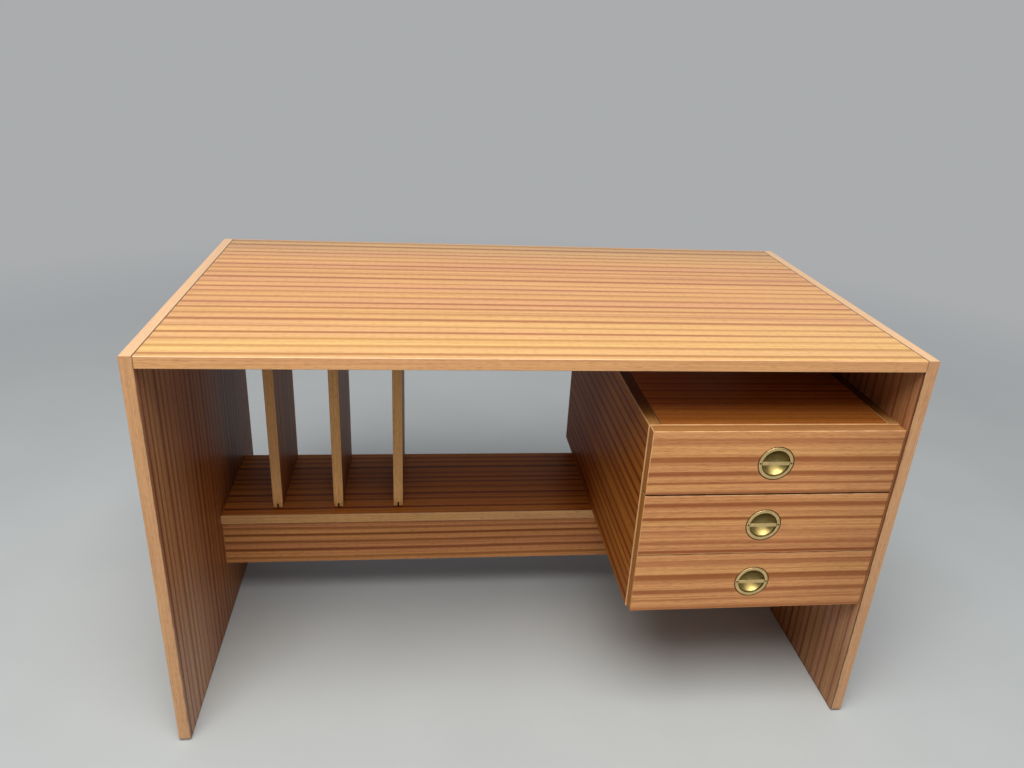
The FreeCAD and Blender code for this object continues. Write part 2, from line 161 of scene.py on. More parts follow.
# Grain
TOP_PITCH = 0.0285
RIBBON_PITCH = 0.017
FRONT_PITCH = 0.022
PLAIN_PITCH = 0.006
LEAF_WIDTH = 0.23
FRONT_SEED = 14.0
FRONT_WEAR = (0.3, 0.5, 0.7)
LACQUER_ROUGHNESS = 0.40
LACQUER_SHINE = 0.5
SLAB_SHINE = 0.08
DULL_SHINE = 0.04
CASE_SHINE = 0.02
OILED_ROUGHNESS = 0.55
JOINT_REACH = 0.0015
RING_REACH = 0.0022
FOOT_SOIL = 0.005
VENEER_STRIPE = 1.0
VENEER_FIBRE = 0.28
LIPPING_STRIPE = 0.35
LIPPING_FIBRE = 0.55
DRAWER_PITCH = 0.016
BEECH_PITCH = 0.009
PLY_PITCH = 0.05
PLY_WAVER = 0.02
PLY_STRIPE = 0.5
PORE_STRENGTH = 0.4
PORE_ROUGHNESS = 0.10
FIBRE_ROUGHNESS = 0.08
FIBRE_HEIGHT = 0.4
FACING_SPAN = (0.55, 0.75)
ARRIS_SLOPE = (0.80, 0.97)
ARRIS_PATCH_RATE = 38.0
ARRIS_PATCH_SPAN = (0.30, 0.65, 0.35, 1.0)
WORN_LIMIT = 0.1
BLEACHED_SHARE = 0.35
JOINT_SHARE = 0.85
RING_SHARE = 0.92
SOIL_SHARE = 0.85
BUMP_DEPTH = 0.0004

# How the grain changes: rates across and along the stripes with a place in the noise, and spans of the noise
SEED_SPREAD = 7.31
SEED_SHIFT = 0.37
GRAIN_DRIFTS = ((1.3, 2.0), (8.0, 0.35))
DRIFT_ACROSS = 0.8
LAYER_RATE = 31.0
LEAF_CHANGE = 0.13
PHASE_RATES = (0.45, 0.3, 0.0)
WIDTH_RATES = (1.1, 0.5, 9.0)
WIDTH_CHANGE = 0.9
STRIPE_LEAN = 0.3
STRIPE_SPAN = (-0.1, 0.95)
DEPTH_RATES = (0.8, 0.25, 33.0)
DEPTH_SPAN = (0.35, 0.65)
THIN_RATES = (4.6, 0.4, 21.0)
THIN_SPAN = (0.50, 0.68)
THIN_SHARE = 0.32
FADE_RATES = (0.5, 1.6, 55.0)
FADE_SPAN = (0.30, 0.60, 0.8, 1.0)
SHADE_RATES = (0.9, 1.3, 47.0)
SHADE_SPAN = (0.32, 0.68)
FIBRE_RATES = (6.0, 520.0, 2.0)
FIBRE_SPAN = (0.30, 0.70)
PORE_RATES = (70.0, 2600.0, 0.0)
PORE_SPAN = (0.58, 0.70)
GROWTH_BEND = 3.0
GROWTH_RATES = (20.0, 420.0)
GROWTH_SPAN = (0.35, 0.65, 0.35, 1.0)
END_PORE_RATE = 1900.0
END_PORE_SPAN = (0.58, 0.68)
END_PORE_SHARE = 0.6
CHIP_RATE = 420.0
DUST_RATE = 1300.0

# Metals
BRASS_TONE = (231, 199, 140)
BOWL_TONE = (228, 203, 130)
BRASS_AGED = (156, 126, 72)
# Dark brass for dirt, and for painted shade in the bowl
BRASS_DIRT = (48, 40, 14)
PIN_TONE = (54, 42, 20)
# The bright spot low in the bowl, left clean where the lamp's reflection falls
TOUCH_PLACE = (0.003, -0.015)
LIP_REACH = 0.0011
PIN_REACH = 0.0019
STEEL_TONE = (188, 188, 184)
STEEL_AGED = (120, 116, 108)
TURNING_RATES = (2.0, 5200.0)
CLOUD_RATE = 130.0
CLOUD_SPAN = (0.42, 0.72)
CLOUD_SHARE = 0.35
SPECK_RATE = 1400.0
SPECK_SPAN = (0.62, 0.74)
SPECK_SHARE = 0.5
BOWL_FADE = 0.0004
# Bowl darkening, tarnish and painted shade: below the bar round the bright spot, above the bar towards the top
DULL_BELOW = (0.004, 0.014, 0.0, 0.6)
DULL_ABOVE = (0.002, 0.020, 0.66, 0.88)
BAR_SPAN = (-0.001, 0.003)
LIP_DIRT = 0.88
PIN_DIRT = 0.9
PIN_FADE = 0.0005
BRASS_ROUGHNESS = 0.30
TARNISH_ROUGHNESS = 0.20
TURNING_ROUGHNESS = 0.10
BOWL_ROUGHNESS = 0.12
BRASS_BUMP = 0.15
BRASS_BUMP_DEPTH = 0.0001
STEEL_CLOUD_RATE = 700.0
STEEL_CLOUD_SPAN = (0.40, 0.65)
STEEL_ROUGHNESS = 0.28
STEEL_CLOUD_ROUGHNESS = 0.2

# Pull, drawn again with a smooth bowl and rounded rim
RIM_WIDTH = 0.006
RIM_PROUD = 0.0004
RIM_THICKNESS = 0.0016
RIM_ROUNDING = 0.0005
BOWL_DEPTH = 0.013
CUP_WALL = 0.0012
BAR_ROUNDING = 0.0004
BAR_CLEARANCE = 0.00005
BAR_END_STEPS = 4
PIN_ROUNDING = 0.0003
PIN_SEGMENTS = 24
CUP_SEGMENTS = 96
BOWL_RINGS = 20

# Screws
SCREW_HEAD_RADIUS = 0.0035
SCREW_SHANK_RADIUS = 0.00175
SCREW_SLOT_WIDTH = 0.0009
SCREW_SLOT_DEPTH = 0.0008
SCREW_SEGMENTS = 24
SCREW_POINT_RADIUS = 0.0002
# In lengths of the head's taper
SCREW_POINT_LENGTH = 1.2
SCREW_ROOT = 0.9

# How near two corners are to count as one, and the angle up to which a face runs smoothly into the next
WELD_REACH = 1e-7
CORNER_WELD_REACH = 1e-6
FLAT_EDGE = 1e-9
SAME_PLACE = 1e-5
SMOOTH_ANGLE = 40.0

DRAWERS = ("bottom", "middle", "top")
MAIN_BODY = "desk"


def linear(colour):
    """Screen values from 0 to 255 as the linear colour that a socket takes."""
    shares = [value / 255 for value in colour]
    return tuple(share / 12.92 if share <= 0.04045 else ((share + 0.055) / 1.055) ** 2.4
                 for share in shares) + (1.0,)


def put(tree, socket, value):
    """Link a socket to a source, or set its own value."""
    if isinstance(value, bpy.types.NodeSocket):
        tree.links.new(value, socket)
    else:
        socket.default_value = value


def add(tree, kind, inputs=None, **settings):
    made = tree.nodes.new(kind)
    for name, value in settings.items():
        setattr(made, name, value)
    for key, value in (inputs or {}).items():
        put(tree, made.inputs[key], value)
    return made


def calc(tree, operation, *values):
    """One step of arithmetic on numbers."""
    return add(tree, "ShaderNodeMath", dict(enumerate(values)), operation=operation).outputs[0]


def times(tree, first, second):
    return calc(tree, "MULTIPLY", first, second)


def plus(tree, first, second):
    return calc(tree, "ADD", first, second)


def minus(tree, first, second):
    return calc(tree, "SUBTRACT", first, second)


def split(tree, vector):
    return add(tree, "ShaderNodeSeparateXYZ", {0: vector}).outputs


def combine(tree, *parts):
    return add(tree, "ShaderNodeCombineXYZ", dict(enumerate(parts))).outputs[0]


def length(tree, vector):
    return add(tree, "ShaderNodeVectorMath", {0: vector}, operation="LENGTH").outputs["Value"]


def object_place(tree):
    return add(tree, "ShaderNodeTexCoord").outputs["Object"]


def blend(tree, factor, first, second, mode="MIX"):
    """Two colours mixed by a factor."""
    made = add(tree, "ShaderNodeMix", {0: factor, 6: first, 7: second}, data_type="RGBA", blend_type=mode)
    return made.outputs[2]


def rise(tree, value, low, high, bottom=0.0, top=1.0):
    """A smooth step from one value to another as the input goes from low to high."""
    inputs = {"Value": value, "From Min": low, "From Max": high, "To Min": bottom, "To Max": top}
    return add(tree, "ShaderNodeMapRange", inputs, interpolation_type="SMOOTHSTEP").outputs[0]


def noise(tree, vector, scale=1.0, detail=0.0, roughness=0.5):
    inputs = {"Vector": vector, "Scale": scale, "Detail": detail, "Roughness": roughness}
    return add(tree, "ShaderNodeTexNoise", inputs).outputs[0]


def sockets(kind, *labels):
    return [(label, kind) for label in labels]


def new_group(name, inputs, outputs, tree_kind="ShaderNodeTree"):
    """An empty group with named sockets, and its inner ends."""
    group = bpy.data.node_groups.new(name, tree_kind)
    for label, kind in inputs:
        group.interface.new_socket(label, in_out="INPUT", socket_type="NodeSocket" + kind)
    for label, kind in outputs:
        group.interface.new_socket(label, in_out="OUTPUT", socket_type="NodeSocket" + kind)
    return group, group.nodes.new("NodeGroupInput").outputs, group.nodes.new("NodeGroupOutput").inputs


def use(tree, group, **inputs):
    """A group placed in a tree. Underscores in the names stand for spaces."""
    made = tree.nodes.new("ShaderNodeGroup")
    made.node_tree = group
    for key, value in inputs.items():
        put(tree, made.inputs[key.replace("_", " ")], value)
    return made.outputs


def make_ribbon_grain():
    """Stripes, broad shade, fibres and pores of a straight-grained board.

    The vector runs along, across and through the board. Evenness makes the stripes alike and equally far apart.
    The stripes repeat from leaf to leaf of the veneer, each leaf a little changed from the one before.
    """
    group, given, result = new_group(
        "ribbon_grain",
        sockets("Vector", "Vector") + sockets("Float", "Seed", "Pitch", "Waver", "Evenness"),
        sockets("Float", "Stripe", "Shade", "Fibre", "Pore"))
    along, across, through = split(group, given["Vector"])
    seed = times(group, given["Seed"], SEED_SPREAD)
    moved = across
    for rate, share in GRAIN_DRIFTS:
        wander = noise(group, combine(group, along, times(group, across, DRIFT_ACROSS), seed), rate)
        moved = plus(group, moved, times(group, minus(group, wander, 0.5), times(group, given["Waver"], share)))
    placed = plus(group, moved, times(group, given["Seed"], SEED_SHIFT))
    leaf = calc(group, "FLOOR", calc(group, "DIVIDE", placed, LEAF_WIDTH))
    in_leaf = minus(group, placed, times(group, leaf, LEAF_WIDTH))
    layer = plus(group, times(group, through, LAYER_RATE), seed)
    layer = plus(group, layer, times(group, leaf, LEAF_CHANGE))
    place = calc(group, "DIVIDE", in_leaf, given["Pitch"])

    def varied(across_rate, along_rate, offset):
        return noise(group, combine(group, times(group, along, along_rate), times(group, place, across_rate),
                                    plus(group, layer, offset)))

    even = given["Evenness"]
    phase = plus(group, place, times(group, varied(*PHASE_RATES), minus(group, 1.3, times(group, even, 0.7))))
    turn = times(group, phase, 2 * math.pi)
    lean = times(group, calc(group, "SINE", times(group, turn, 2.0)), STRIPE_LEAN)
    wave = plus(group, calc(group, "COSINE", turn), lean)
    wave = plus(group, wave, times(group, minus(group, varied(*WIDTH_RATES), 0.5), WIDTH_CHANGE))
    faintest = plus(group, 0.35, times(group, even, 0.35))
    depth = rise(group, varied(*DEPTH_RATES), *DEPTH_SPAN, faintest, 1.0)
    wide = times(group, rise(group, wave, *STRIPE_SPAN), depth)
    thin = times(group, rise(group, varied(*THIN_RATES), *THIN_SPAN), THIN_SHARE)
    fade = rise(group, varied(*FADE_RATES), *FADE_SPAN)
    put(group, result["Stripe"], times(group, calc(group, "MAXIMUM", wide, thin), fade))
    put(group, result["Shade"], rise(group, varied(*SHADE_RATES), *SHADE_SPAN))

    def fine(along_rate, across_rate, detail):
        deep = plus(group, times(group, through, across_rate), seed)
        return noise(group, combine(group, times(group, along, along_rate), times(group, moved, across_rate), deep),
                     1.0, detail)

    put(group, result["Fibre"], rise(group, fine(*FIBRE_RATES), *FIBRE_SPAN))
    put(group, result["Pore"], rise(group, fine(*PORE_RATES), *PORE_SPAN))
    return group


def make_wood_surface(ribbon_grain):
    """Colour, roughness and height of a lacquered board from its grain."""
    group, given, result = new_group(
        "wood_surface",
        sockets("Vector", "Vector") + sockets("Float", "Seed", "Pitch", "Waver")
        + sockets("Color", "Light", "Second Light", "Dark", "Second Dark", "Pore Colour")
        + sockets("Float", "Stripe Strength", "Fibre Strength", "Gloss Roughness", "Evenness"),
        sockets("Color", "Colour") + sockets("Float", "Roughness", "Height"))
    shared = ("Vector", "Seed", "Pitch", "Waver", "Evenness")
    grain = use(group, ribbon_grain, **{label: given[label] for label in shared})
    light = blend(group, grain["Shade"], given["Light"], given["Second Light"])
    dark = blend(group, grain["Shade"], given["Dark"], given["Second Dark"])
    striped = blend(group, times(group, grain["Stripe"], given["Stripe Strength"]), light, dark)
    fibre = times(group, minus(group, 1.0, grain["Fibre"]), given["Fibre Strength"])
    fibred = blend(group, fibre, striped, dark)
    pored = blend(group, times(group, grain["Pore"], PORE_STRENGTH), fibred, given["Pore Colour"])
    put(group, result["Colour"], pored)
    rough = plus(group, given["Gloss Roughness"], times(group, grain["Pore"], PORE_ROUGHNESS))
    rough = plus(group, rough, times(group, minus(group, grain["Fibre"], 0.5), FIBRE_ROUGHNESS))
    put(group, result["Roughness"], rough)
    put(group, result["Height"], minus(group, times(group, grain["Fibre"], FIBRE_HEIGHT), grain["Pore"]))
    return group


def make_end_grain():
    """Cut ends of the fibres: short arcs of growth and open pores."""
    group, given, result = new_group(
        "end_grain",
        sockets("Vector", "Vector") + sockets("Color", "Light", "Dark", "Pore Colour"),
        sockets("Color", "Colour") + sockets("Float", "Height"))
    _, across, through = split(group, given["Vector"])
    bent = plus(group, through, times(group, times(group, across, across), GROWTH_BEND))
    parts = [times(group, part, rate) for part, rate in zip((across, bent), GROWTH_RATES)]
    growth = noise(group, combine(group, *parts, 0.0), 1.0, 1.0)
    dots = rise(group, noise(group, given["Vector"], END_PORE_RATE), *END_PORE_SPAN)
    toned = blend(group, rise(group, growth, *GROWTH_SPAN), given["Light"], given["Dark"])
    put(group, result["Colour"], blend(group, times(group, dots, END_PORE_SHARE), toned, given["Pore Colour"]))
    put(group, result["Height"], times(group, dots, -1.0))
    return group


def make_chip_core():
    """The sawn edge of a chipboard core."""
    group, given, result = new_group(
        "chip_core", sockets("Vector", "Vector") + sockets("Color", "Light", "Dark"),
        sockets("Color", "Colour") + sockets("Float", "Height"))
    chips = add(group, "ShaderNodeTexVoronoi", {"Vector": given["Vector"], "Scale": CHIP_RATE}, feature="F1")
    tone_of_chip = split(group, chips.outputs["Color"])[0]
    dust = noise(group, given["Vector"], DUST_RATE, 2.0)
    mixed = times(group, plus(group, tone_of_chip, dust), 0.5)
    put(group, result["Colour"], blend(group, mixed, given["Light"], given["Dark"]))
    put(group, result["Height"], dust)
    return group


def make_arris_wear():
    """Where a face slopes between the main directions, as an eased arris does, broken up a little: arrises lightened
    as wear and as a painted highlight.
    """
    group, given, result = new_group("arris_wear", sockets("Vector", "Vector", "Normal"), sockets("Float", "Wear"))
    parts = [calc(group, "ABSOLUTE", part) for part in split(group, given["Normal"])]
    largest = calc(group, "MAXIMUM", calc(group, "MAXIMUM", parts[0], parts[1]), parts[2])
    slope = rise(group, largest, *ARRIS_SLOPE, 1.0, 0.0)
    patches = rise(group, noise(group, given["Vector"], ARRIS_PATCH_RATE, 2.0), *ARRIS_PATCH_SPAN)
    put(group, result["Wear"], times(group, slope, patches))
    return group


def make_near():
    """Full at one place on a scale, and fading out within a reach of it."""
    group, given, result = new_group(
        "near_place", sockets("Float", "Position", "Place", "Reach"), sockets("Float", "Mask"))
    away = calc(group, "ABSOLUTE", minus(group, given["Position"], given["Place"]))
    put(group, result["Mask"], rise(group, calc(group, "DIVIDE", away, given["Reach"]), 0.6, 1.0, 1.0, 0.0))
    return group


def make_brass_wear():
    """Turning marks, tarnish and dirt. The turned map gives the angle and the distance from the axis.

    The bowl is darkened by tarnish and painted shade, most in its upper half and, below the bar, all round a bright
    spot where the lamp's reflection falls; dirt lines its mouth.
    """
    group, given, result = new_group(
        "brass_wear",
        sockets("Vector", "Vector", "Turned") + sockets("Color", "Clean", "Aged")
        + sockets("Float", "Marks", "Mouth", "Unpolished", "Pin Place"),
        sockets("Color", "Colour") + sockets("Float", "Roughness", "Height"))
    angle, distance, _ = split(group, given["Turned"])
    parts = [times(group, part, rate) for part, rate in zip((angle, distance), TURNING_RATES)]
    rings = noise(group, combine(group, *parts, 0.0), 1.0, 1.0)
    cloud = rise(group, noise(group, given["Vector"], CLOUD_RATE, 3.0, 0.6), *CLOUD_SPAN)
    specks = rise(group, noise(group, given["Vector"], SPECK_RATE, 1.0), *SPECK_SPAN)
    tarnish = calc(group, "MAXIMUM", times(group, cloud, CLOUD_SHARE), times(group, specks, SPECK_SHARE))
    inside = rise(group, distance, given["Mouth"], plus(group, given["Mouth"], BOWL_FADE), 1.0, 0.0)
    hollow = times(group, inside, given["Unpolished"])
    worn = blend(group, tarnish, blend(group, hollow, given["Clean"], linear(BOWL_TONE)), given["Aged"])
    turn = times(group, angle, 2 * math.pi)
    height = times(group, distance, calc(group, "SINE", turn))
    aside = times(group, distance, calc(group, "COSINE", turn))
    from_touch = combine(group, minus(group, aside, TOUCH_PLACE[0]), minus(group, height, TOUCH_PLACE[1]), 0.0)
    away = length(group, from_touch)
    # Tarnish and painted shade in the bowl: darker above the bar towards the top, and below it all round a bright
    # spot where the lamp's reflection falls
    dull_below = rise(group, away, *DULL_BELOW)
    dull_above = rise(group, height, *DULL_ABOVE)
    above = rise(group, height, *BAR_SPAN)
    dull = plus(group, times(group, dull_above, above), times(group, dull_below, minus(group, 1.0, above)))
    lip = use(group, NEAR, Position=distance, Place=given["Mouth"], Reach=LIP_REACH)["Mask"]
    dull = calc(group, "MAXIMUM", times(group, dull, inside), times(group, lip, LIP_DIRT))
    to_pin = combine(group, minus(group, calc(group, "ABSOLUTE", aside), given["Pin Place"]), height, 0.0)
    pin_away = length(group, to_pin)
    dull = calc(group, "MAXIMUM", dull, rise(group, pin_away, PIN_REACH - PIN_FADE, PIN_REACH, PIN_DIRT, 0.0))
    put(group, result["Colour"], blend(group, times(group, dull, given["Unpolished"]), worn, linear(BRASS_DIRT)))
    rough = plus(group, times(group, tarnish, TARNISH_ROUGHNESS), times(group, rings, TURNING_ROUGHNESS))
    rough = plus(group, rough, times(group, hollow, BOWL_ROUGHNESS))
    put(group, result["Roughness"], plus(group, rough, BRASS_ROUGHNESS))
    put(group, result["Height"], times(group, rings, given["Marks"]))
    return group


NEAR = make_near()
GRAIN = make_ribbon_grain()
WOOD = make_wood_surface(GRAIN)
END_GRAIN = make_end_grain()
CHIP_CORE = make_chip_core()
ARRIS = make_arris_wear()
BRASS_WEAR = make_brass_wear()


def new_object(name, data):
    made = bpy.data.objects.new(name, data)
    bpy.context.scene.collection.objects.link(made)
    return made


def new_material(name):
    material = bpy.data.materials.new(name)
    material.use_nodes = True
    tree = material.node_tree
    return material, tree, tree.nodes["Principled BSDF"]


def by_axis(tree, vector):
    return dict(zip("xyz", split(tree, vector)))


def give_surface(tree, shader, surface, colour, bump, bump_depth):
    """Send a surface's colour, roughness and height to its shader."""
    put(tree, shader.inputs["Base Color"], colour)
    put(tree, shader.inputs["Roughness"], surface["Roughness"])
    inputs = {"Strength": bump, "Distance": bump_depth, "Height": surface["Height"]}
    put(tree, shader.inputs["Normal"], add(tree, "ShaderNodeBump", inputs).outputs[0])


def grain_vector(tree, position, order):
    """The place on a board as its distance along, across and through the grain."""
    return combine(tree, *[position[axis] for axis in order])


def facing(tree, normal, axis, sign=None):
    """One where a face looks along an axis, nought where it lies along it. A sign picks one of the two ways."""
    part = by_axis(tree, normal)[axis]
    part = times(tree, part, sign) if sign else calc(tree, "ABSOLUTE", part)
    return rise(tree, part, *FACING_SPAN)


def wood(name, order, seed, light, dark, pore, pitch=PLAIN_PITCH, waver=0.003, stripe=0.6, fibre=0.35,
         roughness=LACQUER_ROUGHNESS, edge=None, joints=(), across_beyond=None, rings=(), wear=0.55, bump=0.10,
         shine=DULL_SHINE, tones=(), bleached=(), soiled=0.0, veneered=None, evenness=0.0):
    """A wood finish. The order names the axes along, across and through the grain.

    edge is what the narrow faces show: chips of a core, or cut ends. The joint lines are dark lines at a place on an
    axis, on all faces or on the one given: joints, and painted contact shade at the divider feet. across_beyond
    turns the grain where a coordinate is further from a centre than a limit.
    rings are circles of dirt and painted gap shade round the pulls, with their centre and radius. tones give the
    faces, each by an axis and a sign, that take a tint, mostly painted shade, with their tint and the spans over
    which another tint comes in. Paled faces are mixed toward a paler tone. The foot band is how far dirt and painted
    contact shade reach up from the floor. veneered gives the axis, order, seed and pitch of a veneer that runs on
    over a lipping's face.
    """
    material, tree, shader = new_material(name)
    vector = object_place(tree)
    normal = add(tree, "ShaderNodeNewGeometry").outputs["True Normal"]
    position = by_axis(tree, vector)
    place = grain_vector(tree, position, order)
    if across_beyond:
        axis, centre, limit, other_order = across_beyond
        away = calc(tree, "ABSOLUTE", minus(tree, position[axis], centre))
        other = grain_vector(tree, position, other_order)
        switch = add(tree, "ShaderNodeMix", {0: calc(tree, "GREATER_THAN", away, limit), 4: place, 5: other},
                     data_type="VECTOR")
        place = switch.outputs[1]

    def surface_of(at, own_seed, lights, darks, pores, own_pitch, stripes, fibres):
        return use(tree, WOOD, Vector=at, Seed=own_seed, Pitch=own_pitch, Waver=waver, Light=linear(lights[0]),
                   Second_Light=linear(lights[1]), Dark=linear(darks[0]), Second_Dark=linear(darks[1]),
                   Pore_Colour=linear(pores), Stripe_Strength=stripes, Fibre_Strength=fibres,
                   Gloss_Roughness=roughness, Evenness=evenness)

    surface = surface_of(place, seed, light, dark, pore, pitch, stripe, fibre)
    colour = surface["Colour"]
    if veneered:
        axis, face_order, face_seed, face_pitch = veneered
        over = surface_of(grain_vector(tree, position, face_order), face_seed, FRONT_LIGHT, VENEER_DARK,
                          VENEER_PORE, face_pitch, VENEER_STRIPE, VENEER_FIBRE)
        colour = blend(tree, facing(tree, normal, axis), colour, over["Colour"])
    if edge == "chips":
        core = use(tree, CHIP_CORE, Vector=vector, Light=linear(CHIP_LIGHT), Dark=linear(CHIP_DARK))
        narrow = minus(tree, 1.0, facing(tree, normal, order[2]))
        worn = use(tree, ARRIS, Vector=vector, Normal=normal)["Wear"]
        narrow = times(tree, narrow, calc(tree, "LESS_THAN", worn, WORN_LIMIT))
        colour = blend(tree, narrow, colour, core["Colour"])
    elif edge == "ends":
        ends = use(tree, END_GRAIN, Vector=place, Light=linear(light[0]), Dark=linear(dark[0]),
                   Pore_Colour=linear(pore))
        colour = blend(tree, facing(tree, normal, order[0]), colour, ends["Colour"])
    # Tones: tints by which way a face looks, mostly painted shade; the desktop's top only shifts colour from front
    # to back
    for axis, sign, tint, spans in tones:
        toned = blend(tree, 1.0, colour, linear(tint), "MULTIPLY")
        for span_axis, start, end, end_tint in spans:
            turned = blend(tree, 1.0, toned, linear(end_tint), "MULTIPLY")
            toned = blend(tree, rise(tree, position[span_axis], start, end), toned, turned)
        colour = blend(tree, facing(tree, normal, axis, sign), colour, toned)
    for axis, sign in bleached:
        share = times(tree, facing(tree, normal, axis, sign), BLEACHED_SHARE)
        colour = blend(tree, share, colour, linear(BLEACHED_TONE))
    # Arrises lightened as wear and as a painted highlight
    if wear:
        worn = use(tree, ARRIS, Vector=vector, Normal=normal)["Wear"]
        colour = blend(tree, times(tree, worn, wear), colour, linear(ARRIS_TONE))
    # Dark lines: joints, and at the divider feet painted contact shade
    for axis, seam, face in joints:
        line = use(tree, NEAR, Position=position[axis], Place=seam, Reach=JOINT_REACH)["Mask"]
        if face:
            line = times(tree, line, facing(tree, normal, *face))
        colour = blend(tree, times(tree, line, JOINT_SHARE), colour, linear(JOINT_TONE))
    # Dark rings round the pulls: dirt and painted shade of the gap round each cup
    for centre, radius in rings:
        away = add(tree, "ShaderNodeVectorMath", {0: vector, 1: tuple(centre)}, operation="DISTANCE")
        line = use(tree, NEAR, Position=away.outputs["Value"], Place=radius, Reach=RING_REACH)
        colour = blend(tree, times(tree, line["Mask"], RING_SHARE), colour, linear(JOINT_TONE))
    # Darker near the floor: dirt and painted contact shade
    if soiled:
        colour = blend(tree, rise(tree, position["z"], 0.0, soiled, SOIL_SHARE, 0.0), colour, linear(JOINT_TONE))
    give_surface(tree, shader, surface, colour, bump, BUMP_DEPTH)
    put(tree, shader.inputs["Specular IOR Level"], shine)
    return material


def veneer(name, order, seed, light=VENEER_LIGHT, dark=VENEER_DARK, pitch=RIBBON_PITCH, **settings):
    return wood(name, order, seed, light, dark, VENEER_PORE, pitch=pitch, stripe=VENEER_STRIPE, fibre=VENEER_FIBRE,
                edge="chips", **settings)


def lipping(name, order, seed, light=LIPPING_LIGHT, dark=LIPPING_DARK, **settings):
    return wood(name, order, seed, light, dark, LIPPING_PORE, stripe=LIPPING_STRIPE, fibre=LIPPING_FIBRE,
                **settings)


def oiled(name, order, seed, light, dark, pore, pitch, **settings):
    return wood(name, order, seed, light, dark, pore, pitch=pitch, roughness=OILED_ROUGHNESS, wear=0, **settings)


def drawer_wood(name, order, seed):
    return oiled(name, order, seed, DRAWER_LIGHT, DRAWER_DARK, DRAWER_PORE, DRAWER_PITCH, edge="ends")


def beech(name, seed, **settings):
    return oiled(name, "yzx", seed, BEECH_LIGHT, BEECH_DARK, BEECH_PORE, BEECH_PITCH, edge="ends", **settings)


def plywood(name, order, seed):
    return oiled(name, order, seed, PLY_LIGHT, PLY_DARK, PLY_PORE, PLY_PITCH, waver=PLY_WAVER, stripe=PLY_STRIPE)


def brass(name, marks, tone=BRASS_TONE, aged=BRASS_AGED, mouth=0.0, unpolished=0.0, pin_place=0.0):
    material, tree, shader = new_material(name)
    vector = object_place(tree)
    turned = add(tree, "ShaderNodeUVMap", uv_map="turned").outputs[0]
    surface = use(tree, BRASS_WEAR, Vector=vector, Turned=turned, Clean=linear(tone), Aged=linear(aged),
                  Marks=marks, Mouth=mouth, Unpolished=unpolished, Pin_Place=pin_place)
    give_surface(tree, shader, surface, surface["Colour"], BRASS_BUMP, BRASS_BUMP_DEPTH)
    put(tree, shader.inputs["Metallic"], 1.0)
    return material


def steel(name):
    material, tree, shader = new_material(name)
    vector = object_place(tree)
    cloud = rise(tree, noise(tree, vector, STEEL_CLOUD_RATE, 2.0), *STEEL_CLOUD_SPAN)
    put(tree, shader.inputs["Base Color"], blend(tree, cloud, linear(STEEL_TONE), linear(STEEL_AGED)))
    put(tree, shader.inputs["Roughness"], plus(tree, times(tree, cloud, STEEL_CLOUD_ROUGHNESS), STEEL_ROUGHNESS))
    put(tree, shader.inputs["Metallic"], 1.0)
    return material


def middle(low, high):
    return (low + high) / 2


def pull_sizes(name):
    """Centre of a pull on its drawer front, and its rim's radius."""
    low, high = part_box("drawer_" + name + "_pull_cup")
    centre = middle(low, high)
    face = low.y + RIM_PROUD
    return Vector((centre.x, face, centre.z)), (high.x - low.x) / 2


def dress(material, *names):
    for name in names:
        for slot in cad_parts[name].material_slots:
            slot.material = material


